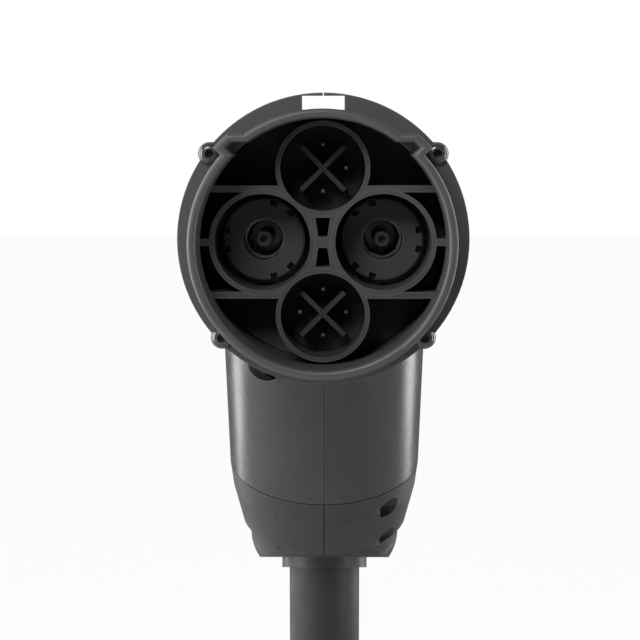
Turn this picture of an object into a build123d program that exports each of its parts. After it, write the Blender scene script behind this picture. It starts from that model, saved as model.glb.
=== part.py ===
from build123d import *

import os
from math import acos, cos, degrees, hypot, pi, radians, sin, sqrt, tan

# Direct-current vehicle charging plug on its lead.
# Frame: X across the plug, -Y out of the nose, +Z up. The origin is on the nose axis, in the face
# of the collar that the nose stands on.

# ---------------------------------------------------------------- driving dimensions (mm)
NOSE_LENGTH = 38.0
NOSE_RADIUS = 35.0
NOSE_WALL = 2.4
NOSE_RIM_ROUND = 1.0
CARRIER_STEP = 0.6          # the bore widens by this where the contact carrier begins
KEY_TOP_ANGLE = 35.5        # the two keys, measured from straight up
KEY_LOW_ANGLE = 48.5
KEY_RISE = 2.6
KEY_WALL = 2.2

COLLAR_RADIUS = 40.7
COLLAR_THICKNESS = 4.0
COLLAR_DROP = 0.7           # the collar's centre lies this far under the nose axis
WINDOW_WIDTH = 11.8
WINDOW_BOTTOM = 35.3
WINDOW_HEIGHT = 3.9
SEAM_GAP = 0.3
SEAM_DEPTH = 0.8            # a tongue closes each seam this far under the surface

WEB_RECESS = 14.6           # from the nose's mouth to the front of the carrier's webs
BASE_SETBACK = 4.0          # the carrier's base starts this far in front of the collar's face
BASE_THICKNESS = 7.0
POWER_PITCH = 32.2
POWER_WELL_RADIUS = 12.8
POWER_WELL_WALL = 1.3
SIGNAL_PITCH = 39.0
SIGNAL_WELL_RADIUS = 11.25
SIGNAL_WELL_WALL = 1.3
BAR_HEIGHT = 14.1
BAR_THICKNESS = 1.8
MID_RIB_THICKNESS = 1.9
HUB_HALF_WIDTH = 4.2
HUB_HALF_HEIGHT = 8.6
POCKET_INNER = 1.5          # the hourglass pockets between the power wells
POCKET_OUTER = 6.5
POCKET_WAIST = 2.4
POCKET_MOUTH = 3.9

INSULATOR_RADIUS = 11.4
INSULATOR_RECESS = 14.0     # behind the front of the webs
INSULATOR_BORE = 5.55
INSULATOR_FLANGE = 1.1
INSULATOR_FLANGE_THICKNESS = 2.0
INSULATOR_TAIL = 24.0
NOTCH_WIDTH = 2.0
NOTCH_DEPTH = 1.3
NOTCH_LENGTH = 3.0
NOTCH_PAIR_ANGLE = 15.0
CONTACT_RADIUS = 7.0
CONTACT_LENGTH = 32.0
CONTACT_SETBACK = 8.0
SOCKET_RADIUS = 5.0
SOCKET_DEPTH = 18.0
GUARD_RADIUS = 2.3
GUARD_DIMPLE = 1.1

INSERT_CLEARANCE = 0.15
RIB_RECESS = 5.0            # top of the cross behind the front of the webs
RIB_REACH = 8.2
RIB_THICKNESS = 1.2
INSERT_RECESS = 16.5
INSERT_TAIL = 0.6
PIN_RADIUS = 0.8
PIN_CIRCLE = 6.2
PIN_RECESS = 10.0
PIN_TAIL = 4.0

SEAL_THICKNESS = 1.0
SEAL_WIDTH = 2.6
RETAINER_THICKNESS = 3.0
SEAT_RADIUS = 33.6
SEAT_CLEARANCE = 0.1

SCREW_UPPER = (31.5, 23.2)
SCREW_LOWER = (28.3, -28.0)
SCREW_HEAD_RADIUS = 3.0
SCREW_HEAD_HEIGHT = 2.2
SCREW_RADIUS = 1.9
SCREW_LENGTH = 13.0
SCREW_SOCKET = 1.4
SCREW_CLEARANCE = 0.15
EAR_RADIUS = 3.2
BOSS_DEPTH = 15.0

PAD_RADIUS = 38.5
PAD_THICKNESS = 8.0
HEAD_RADIUS = 34.0
HEAD_LENGTH = 50.0
HEAD_DOME = 22.0
SHELL_WALL = 2.6

HANDLE_TILT = 20.0
HANDLE_Y = 40.0
BARREL_TOP_RADIUS = 31.5
BARREL_LOW_RADIUS = 30.0
BARREL_LENGTH = 78.0
JUNCTION_ROUND = 5.0
CAP_GAP = 0.35
CAP_SHOULDER_RADIUS = 29.2
CAP_SHOULDER = 8.0
CAP_WAIST_RADIUS = 26.4
CAP_WAIST = 20.7
CAP_STEP_RADIUS = 24.5
CAP_STEP = 22.6
CAP_BOWL_RADIUS = 23.8
CAP_BOWL = 27.3
CAP_END = 39.0
CAP_FLOOR = 25.0
CAP_FLOOR_RADIUS = 16.0

GLAND_RADIUS = 13.9
GLAND_LENGTH = 14.0
GLAND_TRIM = 13.6           # the cap's and the gland's end faces slope by this
GLAND_SKIRT = 3.3           # the gland shows this far under the cap
CABLE_RADIUS = 11.5

TRAY_HALF_WIDTH = 6.4
TRAY_WALL = 2.5
TRAY_FLOOR = 23.5
TRAY_RIM = 31.0
TRAY_FRONT = 13.5
TRAY_BACK = 60.0
FINGER_CHANNEL = 34.0
LEVER_SIDE_CLEARANCE = 0.6
LEVER_FRONT = 16.0
LEVER_BACK = 59.0
LEVER_TOP = 33.0
LEVER_BOTTOM = 29.2
LEVER_PAD_TOP = 35.0
LEVER_PAD_LENGTH = 12.0
FINGER_TIP = 5.0
FINGER_TOP = 35.2
FINGER_THICKNESS = 0.8
LEVER_PIVOT_Y = 35.0
LEVER_PIVOT_Z = 31.0
LATCH_PIN_RADIUS = 1.2
RUNNING_CLEARANCE = 0.05
SPRING_WIDTH = 6.0
SPRING_THICKNESS = 0.5
SPRING_LENGTH = 17.0
SPRING_RISE = 5.5

SOLENOID_WIDTH = 16.0
SOLENOID_LENGTH = 22.0
SOLENOID_HEIGHT = 12.0
PLUNGER_RADIUS = 2.0

CROSS_SCREW_RADIUS = 1.6
CROSS_HEAD_RADIUS = 2.9
CROSS_HEAD_HEIGHT = 2.4
CROSS_BOSS_RADIUS = 4.2
HOUSING_RECESS_RADIUS = 3.4
HOUSING_RECESS_FLOOR = 11.5
HOUSING_SCREWS = [(34.6, 24.3), (52.7, -25.0)]   # down the handle axis, and in front of it
CAP_RECESS_RADIUS = 3.0
CAP_RECESS_FLOOR = 15.0
CAP_SCREWS = [(6.6, 21.2), (19.4, 18.0)]         # below the cap's joint, and in front of the axis
CAP_SEAM_GAP = 0.6
CAP_LIP_LENGTH = 4.0
CAP_LIP_CLEARANCE = 0.2
SNAP_RADIUS = 2.8
SNAP_PLACE = (19.7, 0.0)
SNAP_FLOOR = 24.2
DRAIN_WIDTH = 8.0
DRAIN_HEIGHT = 1.0
DRAIN_PLACE = (31.8, 9.3)
DRAIN_SHIFT = 1.6

CLAMP_RISE = 20.0            # the clamp's top stands this far above the gland's
CLAMP_HEIGHT = 10.0
CLAMP_WALL = 3.2
CLAMP_EAR_REACH = 18.0
CLAMP_SCREW_RADIUS = 1.1
GLAND_FLANGE_RADIUS = 15.4
GLAND_FLANGE_THICKNESS = 3.0

CORE_RADIUS = 4.7
CORE_SPREAD = 5.6
CORE_SETBACK = 2.0           # the cores lie behind the cable's axis, the signal lanes before it
LANE_SPREAD = 2.7
LANE_SETBACK = 6.5
STRIP_LENGTH = 9.0
BOOT_THICKNESS = 3.0
HARNESS_RADIUS = 2.6

CABLE_RUN = 100.0            # from one point of the cable's bend to the next
COIL_RADIUS = 132.0
COIL_TURNS_WIDE = 2
COIL_TURNS_HIGH = 2
COIL_CORNER = 10.0
COIL_TANGENT_AHEAD = 30.0
TIE_THICKNESS = 1.6
TIE_WIDTH = 14.0
END_CAP_LENGTH = 32.0

# ---------------------------------------------------------------- derived places
nose_bore = NOSE_RADIUS - NOSE_WALL
carrier_bore = nose_bore + CARRIER_STEP
web_front = WEB_RECESS - NOSE_LENGTH
base_front = -BASE_SETBACK
web_depth = base_front - web_front
base_back = base_front + BASE_THICKNESS
seal_back = base_back + SEAL_THICKNESS
retainer_back = seal_back + RETAINER_THICKNESS
carrier_radius = carrier_bore - INSERT_CLEARANCE
insulator_front = web_front + INSULATOR_RECESS
contact_front = insulator_front + CONTACT_SETBACK
insert_front = web_front + INSERT_RECESS
insert_back = base_back + INSERT_TAIL
insert_thickness = insert_back - insert_front
well_x = POWER_PITCH / 2
well_z = SIGNAL_PITCH / 2
pad_back = COLLAR_THICKNESS + PAD_THICKNESS
screw_places = [(side * x, z) for x, z in (SCREW_UPPER, SCREW_LOWER) for side in (-1, 1)]
cable_diameter = 2 * CABLE_RADIUS
lever_half_width = TRAY_HALF_WIDTH - LEVER_SIDE_CLEARANCE
tray_underside = TRAY_FLOOR - TRAY_WALL
solenoid_y = TRAY_BACK - SOLENOID_LENGTH / 2 - 4
handle_lean = radians(HANDLE_TILT)
gland_y = HANDLE_Y + (BARREL_LENGTH + CAP_END) * sin(handle_lean)
gland_end = -(BARREL_LENGTH + CAP_END) * cos(handle_lean)
gland_top = gland_end + GLAND_LENGTH
clamp_top = gland_top + CLAMP_RISE
cable_top = clamp_top
bowl_bulge_r = (CAP_BOWL_RADIUS + GLAND_RADIUS) / 2 + 2.4
bowl_bulge_t = (CAP_BOWL + CAP_END) / 2 + 2.0
clamp_screw_spots = [
    (way * (CABLE_RADIUS + CLAMP_WALL + 1.8), clamp_top - CLAMP_HEIGHT / 2) for way in (-1, 1)
]
handle_axis = Axis((0, HANDLE_Y, 0), (0, sin(handle_lean), -cos(handle_lean)))

# The cable drops from the clamp, bends back in three steps, and lies down into its coil.
drop_points = [
    (0, gland_y, cable_top),
    (0, gland_y, cable_top - CABLE_RUN),
    (0, gland_y + CABLE_RUN * 0.5, cable_top - CABLE_RUN * 1.866),
    (0, gland_y + CABLE_RUN * 1.366, cable_top - CABLE_RUN * 2.366),
    (0, gland_y + CABLE_RUN * 2.266, cable_top - CABLE_RUN * 2.366),
]
lie_height = drop_points[-1][2]
coil_outer = COIL_RADIUS + CABLE_RADIUS
coil_x = coil_outer
coil_y = drop_points[-1][1] + COIL_TANGENT_AHEAD
coil_middle = lie_height + CABLE_RADIUS * (COIL_TURNS_HIGH - 1)
coil_plane = Plane(origin=(coil_x, coil_y, coil_middle), x_dir=(1, 0, 0), z_dir=(0, -1, 0))
coil_axis = Axis((coil_x, coil_y, coil_middle), (0, 0, 1))
top_layer = lie_height + cable_diameter
tail_points = [
    (coil_x + coil_outer, coil_y - COIL_TANGENT_AHEAD, top_layer),
    (coil_x + coil_outer - 1, coil_y - COIL_TANGENT_AHEAD - 60, top_layer - 3),
    (coil_x + coil_outer - 5, coil_y - COIL_TANGENT_AHEAD - 120, lie_height + 4),
    (coil_x + coil_outer - 13, coil_y - COIL_TANGENT_AHEAD - 180, lie_height),
]
TIE_ANGLES = (70, 130, 310)


def across(y):
    """Sketch plane square to the nose axis at y; its x is X, its y is Z, and it faces -Y."""
    return Plane(origin=(0, y, 0), x_dir=(1, 0, 0), z_dir=(0, -1, 0))


def handle(t):
    """Sketch plane square to the handle axis at t; its x is X, its y the front, and it faces down."""
    lean = radians(HANDLE_TILT)
    origin = (0, HANDLE_Y + t * sin(lean), -t * cos(lean))
    return Plane(origin=origin, x_dir=(1, 0, 0), z_dir=(0, sin(lean), -cos(lean)))


def beside_handle(t, front):
    """Y and Z of a point t down the handle axis and front before it."""
    lean = radians(HANDLE_TILT)
    y = HANDLE_Y + t * sin(lean) - front * cos(lean)
    return (y, -t * cos(lean) - front * sin(lean))


def handle_side(t):
    """Sketch plane along the handle axis; its x is X and its y runs down the handle from t."""
    lean = radians(HANDLE_TILT)
    place = handle(t)
    return Plane(origin=place.origin, x_dir=(1, 0, 0), z_dir=(0, cos(lean), sin(lean)))


housing_screw_places = [beside_handle(t, front) for t, front in HOUSING_SCREWS]
cap_screw_places = [beside_handle(BARREL_LENGTH + t, front) for t, front in CAP_SCREWS]
snap_place = beside_handle(BARREL_LENGTH + SNAP_PLACE[0], SNAP_PLACE[1])
drain_place = (DRAIN_SHIFT, *beside_handle(BARREL_LENGTH + DRAIN_PLACE[0], DRAIN_PLACE[1]))

# ---------------------------------------------------------------- nose shell
key_radius = NOSE_RADIUS + KEY_RISE
key_middle = (nose_bore + key_radius) / 2
key_top = key_middle * cos(radians(KEY_TOP_ANGLE))
key_slope = tan(radians(KEY_LOW_ANGLE))
channel_top = key_top - KEY_WALL
channel_angle = KEY_LOW_ANGLE - degrees(KEY_WALL / key_middle)
channel_slope = tan(radians(channel_angle))
channel_radius = key_radius - KEY_WALL

with BuildPart() as nose_shell:
    with BuildSketch(across(COLLAR_THICKNESS)):
        with Locations((0, -COLLAR_DROP)):
            Circle(COLLAR_RADIUS)
        with Locations(*screw_places):
            Circle(EAR_RADIUS)
    extrude(amount=COLLAR_THICKNESS)
    with BuildSketch(across(0)):
        Circle(NOSE_RADIUS)
    extrude(amount=NOSE_LENGTH)
    with BuildSketch(across(0)):
        with BuildLine():
            Polyline((0, 0), (key_top * key_slope, key_top), (-key_top * key_slope, key_top), close=True)
        make_face()
        Circle(key_radius, mode=Mode.INTERSECT)
    extrude(amount=NOSE_LENGTH)
    with BuildSketch(across(COLLAR_THICKNESS)):
        Circle(carrier_bore)
    extrude(amount=COLLAR_THICKNESS - web_front, mode=Mode.SUBTRACT)
    with BuildSketch(across(web_front)):
        Circle(nose_bore)
    extrude(amount=WEB_RECESS, mode=Mode.SUBTRACT)
    with BuildSketch(across(web_front)):
        with BuildLine():
            Polyline(
                (0, 0),
                (channel_top * channel_slope, channel_top),
                (-channel_top * channel_slope, channel_top),
                close=True,
            )
        make_face()
        Circle(channel_radius, mode=Mode.INTERSECT)
    extrude(amount=WEB_RECESS, mode=Mode.SUBTRACT)
    rim = nose_shell.edges().group_by(Axis.Y)[0]
    fillet(rim, NOSE_RIM_ROUND)
    with BuildSketch(across(COLLAR_THICKNESS)):
        Circle(SEAT_RADIUS)
    extrude(amount=COLLAR_THICKNESS, mode=Mode.SUBTRACT)
    with BuildSketch(across(COLLAR_THICKNESS)):
        with Locations((0, WINDOW_BOTTOM + WINDOW_HEIGHT / 2)):
            Rectangle(WINDOW_WIDTH, WINDOW_HEIGHT)
        with Locations((0, WINDOW_BOTTOM + WINDOW_HEIGHT)):
            Rectangle(SEAM_GAP, WINDOW_HEIGHT)
        with Locations(*screw_places):
            Circle(SCREW_RADIUS + SCREW_CLEARANCE)
    extrude(amount=COLLAR_THICKNESS, mode=Mode.SUBTRACT)
nose_shell.part.label = "nose_shell"

# ---------------------------------------------------------------- contact carrier
power_places = [(-well_x, 0), (well_x, 0)]
signal_places = [(0, -well_z), (0, well_z)]
power_ring = POWER_WELL_RADIUS + POWER_WELL_WALL
signal_ring = SIGNAL_WELL_RADIUS + SIGNAL_WELL_WALL

with BuildPart() as contact_carrier:
    with BuildSketch(across(base_back)):
        Circle(carrier_radius)
    extrude(amount=BASE_THICKNESS)
    with BuildSketch(across(base_back)):
        Circle(SEAT_RADIUS - SEAT_CLEARANCE)
    extrude(amount=base_back)
    with BuildSketch(across(base_back)):
        with Locations(*signal_places):
            Circle(SIGNAL_WELL_RADIUS)
        with Locations(*power_places):
            Circle(INSULATOR_RADIUS + INSERT_CLEARANCE)
    extrude(amount=BASE_THICKNESS, mode=Mode.SUBTRACT)
    with BuildSketch(across(base_back)):
        with Locations(*power_places):
            Circle(INSULATOR_RADIUS + INSULATOR_FLANGE + INSERT_CLEARANCE)
    extrude(amount=INSULATOR_FLANGE_THICKNESS, mode=Mode.SUBTRACT)
contact_carrier.part.label = "contact_carrier"

with BuildPart() as carrier_webs:
    with BuildSketch(across(base_front)):
        with Locations((0, -BAR_HEIGHT), (0, BAR_HEIGHT)):
            Rectangle(2 * carrier_radius, BAR_THICKNESS)
        Rectangle(2 * carrier_radius, MID_RIB_THICKNESS)
        Rectangle(2 * HUB_HALF_WIDTH, 2 * HUB_HALF_HEIGHT)
        Circle(carrier_radius, mode=Mode.INTERSECT)
        with Locations(*power_places):
            Circle(power_ring, mode=Mode.SUBTRACT)
        with Locations(*signal_places):
            Circle(signal_ring, mode=Mode.SUBTRACT)
        for way in (-1, 1):
            with BuildLine():
                Polyline(
                    (-POCKET_WAIST / 2, way * POCKET_INNER),
                    (POCKET_WAIST / 2, way * POCKET_INNER),
                    (POCKET_MOUTH / 2, way * POCKET_OUTER),
                    (-POCKET_MOUTH / 2, way * POCKET_OUTER),
                    close=True,
                )
            make_face(mode=Mode.SUBTRACT)
    extrude(amount=web_depth)
carrier_webs.part.label = "carrier_webs"


def make_power_well(name, side):
    """Wall of one power well, standing on the carrier's base and open to the signal wells' walls."""
    with BuildPart() as well:
        with BuildSketch(across(base_front)):
            with Locations((side * well_x, 0)):
                Circle(power_ring)
                Circle(POWER_WELL_RADIUS, mode=Mode.SUBTRACT)
            with Locations(*signal_places):
                Circle(signal_ring, mode=Mode.SUBTRACT)
        extrude(amount=web_depth)
    well.part.label = name
    return well.part


def make_signal_well(name, way):
    """Wall of one signal well, trimmed where the power wells' bores pass it."""
    with BuildPart() as well:
        with BuildSketch(across(base_front)):
            with Locations((0, way * well_z)):
                Circle(signal_ring)
                Circle(SIGNAL_WELL_RADIUS, mode=Mode.SUBTRACT)
            with Locations(*power_places):
                Circle(POWER_WELL_RADIUS, mode=Mode.SUBTRACT)
        extrude(amount=web_depth)
    well.part.label = name
    return well.part


power_well_left = make_power_well("power_well_left", -1)
power_well_right = make_power_well("power_well_right", 1)
signal_well_top = make_signal_well("signal_well_top", 1)
signal_well_bottom = make_signal_well("signal_well_bottom", -1)

# ---------------------------------------------------------------- seal and rear retainer
with BuildPart() as carrier_seal:
    with BuildSketch(across(seal_back)):
        Circle(SEAT_RADIUS - SEAT_CLEARANCE)
        Circle(SEAT_RADIUS - SEAT_CLEARANCE - SEAL_WIDTH, mode=Mode.SUBTRACT)
    extrude(amount=SEAL_THICKNESS)
carrier_seal.part.label = "carrier_seal"

with BuildPart() as rear_retainer:
    with BuildSketch(across(retainer_back)):
        Circle(SEAT_RADIUS - SEAT_CLEARANCE)
        with Locations((-well_x, 0), (well_x, 0)):
            Circle(INSULATOR_RADIUS + INSERT_CLEARANCE, mode=Mode.SUBTRACT)
        with Locations((0, -well_z), (0, well_z)):
            Circle(PIN_CIRCLE + 2 * PIN_RADIUS + INSERT_CLEARANCE, mode=Mode.SUBTRACT)
    extrude(amount=RETAINER_THICKNESS)
rear_retainer.part.label = "rear_retainer"


# ---------------------------------------------------------------- power contacts
def make_insulator(name, side):
    """Castellated sleeve round one power contact, with a flange that the retainer holds."""
    start = 60 if side < 0 else 0
    with BuildPart() as insulator:
        with BuildSketch(across(INSULATOR_TAIL)):
            with Locations((side * well_x, 0)):
                Circle(INSULATOR_RADIUS)
        extrude(amount=INSULATOR_TAIL - insulator_front)
        front = insulator.edges().filter_by(GeomType.CIRCLE).sort_by(Axis.Y)[0]
        fillet(front, 0.8)
        with BuildSketch(across(base_back)):
            with Locations((side * well_x, 0)):
                Circle(INSULATOR_RADIUS + INSULATOR_FLANGE)
        extrude(amount=INSULATOR_FLANGE_THICKNESS)
        with BuildSketch(across(insulator_front)):
            with Locations((side * well_x, 0)):
                Circle(INSULATOR_BORE)
        extrude(amount=-(INSULATOR_TAIL - insulator_front), mode=Mode.SUBTRACT)
        with BuildSketch(across(contact_front)):
            with Locations((side * well_x, 0)):
                Circle(CONTACT_RADIUS)
        extrude(amount=-(INSULATOR_TAIL - contact_front), mode=Mode.SUBTRACT)
        with BuildSketch(across(insulator_front)):
            for pair in range(3):
                for way in (-1, 1):
                    angle = start + 120 * pair + way * NOTCH_PAIR_ANGLE
                    place = INSULATOR_RADIUS - NOTCH_DEPTH / 2
                    spot = (side * well_x + place * cos(radians(angle)), place * sin(radians(angle)))
                    with Locations(Location(spot, angle)):
                        Rectangle(2 * NOTCH_DEPTH, NOTCH_WIDTH)
        extrude(amount=-NOTCH_LENGTH, mode=Mode.SUBTRACT)
    insulator.part.label = name
    return insulator.part


def make_contact(name, side):
    """Socket contact with a solid root and a crimp barrel for its core."""
    with BuildPart() as contact:
        with BuildSketch(across(contact_front + CONTACT_LENGTH)):
            with Locations((side * well_x, 0)):
                Circle(CONTACT_RADIUS - RUNNING_CLEARANCE)
        extrude(amount=CONTACT_LENGTH)
        with BuildSketch(across(contact_front)):
            with Locations((side * well_x, 0)):
                Circle(SOCKET_RADIUS)
        extrude(amount=-SOCKET_DEPTH, mode=Mode.SUBTRACT)
        with BuildSketch(across(contact_front + CONTACT_LENGTH)):
            with Locations((side * well_x, 0)):
                Circle(CORE_RADIUS)
        extrude(amount=CONTACT_LENGTH - SOCKET_DEPTH - CORE_RADIUS, mode=Mode.SUBTRACT)
    contact.part.label = name
    return contact.part


def make_guard(name, side):
    """Insulating post in the middle of a power socket, dimpled at its tip."""
    length = SOCKET_DEPTH + CONTACT_SETBACK - 1.5
    with BuildPart() as guard:
        with BuildSketch(across(contact_front + SOCKET_DEPTH)):
            with Locations((side * well_x, 0)):
                Circle(GUARD_RADIUS)
        extrude(amount=length)
        tip = guard.edges().filter_by(GeomType.CIRCLE).sort_by(Axis.Y)[0]
        fillet(tip, 0.6)
        with BuildSketch(across(contact_front + SOCKET_DEPTH - length)):
            with Locations((side * well_x, 0)):
                Circle(GUARD_DIMPLE)
        extrude(amount=-2 * GUARD_DIMPLE, mode=Mode.SUBTRACT)
    guard.part.label = name
    return guard.part


power_insulator_left = make_insulator("power_insulator_left", -1)
power_insulator_right = make_insulator("power_insulator_right", 1)
power_contact_left = make_contact("power_contact_left", -1)
power_contact_right = make_contact("power_contact_right", 1)
finger_guard_left = make_guard("finger_guard_left", -1)
finger_guard_right = make_guard("finger_guard_right", 1)


# ---------------------------------------------------------------- signal inserts and pins
def pin_spots(way, angles):
    """Pin centres on the circle of the signal insert above (way 1) or below (way -1) the axis."""
    return [
        (PIN_CIRCLE * cos(radians(a)), way * well_z + PIN_CIRCLE * sin(radians(a))) for a in angles
    ]


def make_insert(name, way, angles):
    """Round insert with a diagonal cross standing on it and a hole for each pin."""
    with BuildPart() as insert:
        with BuildSketch(across(insert_back)):
            with Locations((0, way * well_z)):
                Circle(SIGNAL_WELL_RADIUS - INSERT_CLEARANCE)
        extrude(amount=insert_thickness)
        with BuildSketch(across(insert_front)):
            with Locations(Location((0, way * well_z), 45), Location((0, way * well_z), -45)):
                Rectangle(2 * RIB_REACH, RIB_THICKNESS)
        extrude(amount=INSERT_RECESS - RIB_RECESS)
        with BuildSketch(across(insert_front)):
            with Locations(*pin_spots(way, angles)):
                Circle(PIN_RADIUS)
        extrude(amount=-insert_thickness, mode=Mode.SUBTRACT)
    insert.part.label = name
    return insert.part


def make_pins(name, way, angles):
    """Signal pins with chamfered tips, one solid each."""
    with BuildPart() as pins:
        with BuildSketch(across(insert_back + PIN_TAIL)):
            with Locations(*pin_spots(way, angles)):
                Circle(PIN_RADIUS)
        extrude(amount=insert_back + PIN_TAIL - (web_front + PIN_RECESS))
        tips = pins.edges().filter_by(GeomType.CIRCLE).group_by(Axis.Y)[0]
        chamfer(tips, PIN_RADIUS / 2)
    pins.part.label = name
    return pins.part


top_angles = (90, 0, 270)
bottom_angles = (90, 0, 180, 270)
signal_insert_top = make_insert("signal_insert_top", 1, top_angles)
signal_insert_bottom = make_insert("signal_insert_bottom", -1, bottom_angles)
signal_pins_top = make_pins("signal_pins_top", 1, top_angles)
signal_pins_bottom = make_pins("signal_pins_bottom", -1, bottom_angles)

# ---------------------------------------------------------------- housing clamshell
cap_plane = handle(BARREL_LENGTH)

with BuildPart() as housing:
    with BuildSketch(Plane.XY):
        with BuildLine():
            Polyline((0, HEAD_LENGTH), (0, COLLAR_THICKNESS), (HEAD_RADIUS, COLLAR_THICKNESS), (HEAD_RADIUS, HEAD_LENGTH))
            EllipticalCenterArc((0, HEAD_LENGTH), HEAD_RADIUS, HEAD_DOME, start_angle=0, arc_size=90)
            Line((0, HEAD_LENGTH + HEAD_DOME), (0, HEAD_LENGTH))
        make_face()
    revolve(axis=Axis.Y)
    with BuildSketch(handle(0)):
        Circle(BARREL_TOP_RADIUS)
    with BuildSketch(cap_plane):
        Circle(BARREL_LOW_RADIUS)
    loft()
    root = housing.edges().filter_by(lambda e: e.geom_type not in (GeomType.CIRCLE, GeomType.LINE))
    root = root.filter_by(lambda e: e.center().Z < -5)
    fillet(root, JUNCTION_ROUND)
    with BuildSketch(across(pad_back)):
        with Locations((0, -COLLAR_DROP)):
            Circle(PAD_RADIUS)
        with Locations(*screw_places):
            Circle(EAR_RADIUS)
    extrude(amount=PAD_THICKNESS)
    with BuildSketch(across(COLLAR_THICKNESS + BOSS_DEPTH)):
        for x, z in screw_places:
            SlotCenterPoint((0.84 * x, 0.84 * z), (x, z), 2 * EAR_RADIUS)
    extrude(amount=BOSS_DEPTH)
    with BuildSketch(Plane.XY):
        with BuildLine():
            Polyline(
                (0, HEAD_LENGTH),
                (0, COLLAR_THICKNESS),
                (HEAD_RADIUS - SHELL_WALL, COLLAR_THICKNESS),
                (HEAD_RADIUS - SHELL_WALL, HEAD_LENGTH),
            )
            EllipticalCenterArc((0, HEAD_LENGTH), HEAD_RADIUS - SHELL_WALL, HEAD_DOME - SHELL_WALL, start_angle=0, arc_size=90)
            Line((0, HEAD_LENGTH + HEAD_DOME - SHELL_WALL), (0, HEAD_LENGTH))
        make_face()
    revolve(axis=Axis.Y, mode=Mode.SUBTRACT)
    with BuildSketch(handle(0)):
        Circle(BARREL_TOP_RADIUS - SHELL_WALL)
    with BuildSketch(cap_plane):
        Circle(BARREL_LOW_RADIUS - SHELL_WALL)
    loft(mode=Mode.SUBTRACT)
    with BuildSketch(across(retainer_back)):
        Circle(SEAT_RADIUS)
    extrude(amount=retainer_back - COLLAR_THICKNESS, mode=Mode.SUBTRACT)
    with BuildSketch(across(COLLAR_THICKNESS + BOSS_DEPTH)):
        with Locations(*screw_places):
            Circle(SCREW_RADIUS)
    extrude(amount=BOSS_DEPTH, mode=Mode.SUBTRACT)
    with BuildSketch(Plane.XY.offset(tray_underside)):
        with Locations((0, (TRAY_FRONT + TRAY_BACK) / 2)):
            Rectangle(2 * (TRAY_HALF_WIDTH + TRAY_WALL), TRAY_BACK - TRAY_FRONT + 2 * TRAY_WALL)
    extrude(amount=TRAY_RIM - tray_underside)
    with BuildSketch(Plane.XY.offset(TRAY_FLOOR)):
        with Locations((0, (TRAY_FRONT + TRAY_BACK) / 2)):
            Rectangle(2 * TRAY_HALF_WIDTH, TRAY_BACK - TRAY_FRONT)
    extrude(amount=COLLAR_RADIUS, mode=Mode.SUBTRACT)
    with BuildSketch(Plane.XY.offset(FINGER_CHANNEL)):
        with Locations((0, (COLLAR_THICKNESS + TRAY_FRONT) / 2)):
            Rectangle(2 * TRAY_HALF_WIDTH, TRAY_FRONT - COLLAR_THICKNESS)
    extrude(amount=COLLAR_RADIUS, mode=Mode.SUBTRACT)
    with BuildSketch(Plane.YZ):
        with Locations((LEVER_PIVOT_Y, LEVER_PIVOT_Z)):
            Circle(LATCH_PIN_RADIUS + 2)
    extrude(amount=TRAY_HALF_WIDTH + TRAY_WALL, both=True)
    with BuildSketch(Plane.XY.offset(TRAY_FLOOR)):
        with Locations((0, (TRAY_FRONT + TRAY_BACK) / 2)):
            Rectangle(2 * TRAY_HALF_WIDTH, TRAY_BACK - TRAY_FRONT)
    extrude(amount=COLLAR_RADIUS, mode=Mode.SUBTRACT)
    with BuildSketch(Plane.YZ):
        with Locations((LEVER_PIVOT_Y, LEVER_PIVOT_Z)):
            Circle(LATCH_PIN_RADIUS)
    extrude(amount=COLLAR_RADIUS, both=True, mode=Mode.SUBTRACT)
    with BuildSketch(Plane.XY.offset(TRAY_FLOOR)):
        with Locations((0, solenoid_y)):
            Circle(PLUNGER_RADIUS + SCREW_CLEARANCE)
    extrude(amount=-TRAY_WALL, mode=Mode.SUBTRACT)
    with BuildSketch(Plane.YZ):
        with Locations(*housing_screw_places):
            Circle(CROSS_BOSS_RADIUS)
    extrude(amount=HOUSING_RECESS_FLOOR + SHELL_WALL, both=True)
    with BuildSketch(Plane.YZ.offset(-HOUSING_RECESS_FLOOR)):
        with Locations(*housing_screw_places):
            Circle(HOUSING_RECESS_RADIUS)
    extrude(amount=-HEAD_RADIUS, mode=Mode.SUBTRACT)
    with BuildSketch(Plane.YZ.offset(-HOUSING_RECESS_FLOOR)):
        with Locations(*housing_screw_places):
            Circle(CROSS_SCREW_RADIUS)
    extrude(amount=2 * HOUSING_RECESS_FLOOR, mode=Mode.SUBTRACT)

pad_top = PAD_RADIUS - COLLAR_DROP - SEAM_DEPTH
head_top = HEAD_RADIUS - SEAM_DEPTH
barrel_top = BARREL_TOP_RADIUS - SEAM_DEPTH
barrel_low = BARREL_LOW_RADIUS - SEAM_DEPTH

with BuildPart() as housing_tongue:
    add(housing.part)
    with BuildSketch(Plane.YZ):
        with Locations(((COLLAR_THICKNESS + pad_back) / 2, 0)):
            Rectangle(PAD_THICKNESS, 2 * pad_top)
        with Locations(((COLLAR_THICKNESS + HEAD_LENGTH) / 2, 0)):
            Rectangle(HEAD_LENGTH - COLLAR_THICKNESS, 2 * head_top)
        with Locations((HEAD_LENGTH, 0)):
            Ellipse(HEAD_DOME - SEAM_DEPTH, head_top)
        with BuildLine():
            Polyline(
                beside_handle(0, barrel_top),
                beside_handle(BARREL_LENGTH, barrel_low),
                beside_handle(BARREL_LENGTH, -barrel_low),
                beside_handle(0, -barrel_top),
                close=True,
            )
        make_face()
    extrude(amount=SEAM_GAP / 2, both=True, mode=Mode.INTERSECT)

with BuildPart() as housing_left:
    add(housing.part)
    split(bisect_by=Plane.YZ.offset(-SEAM_GAP / 2), keep=Keep.BOTTOM)
housing_left.part.label = "housing_left"

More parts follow.
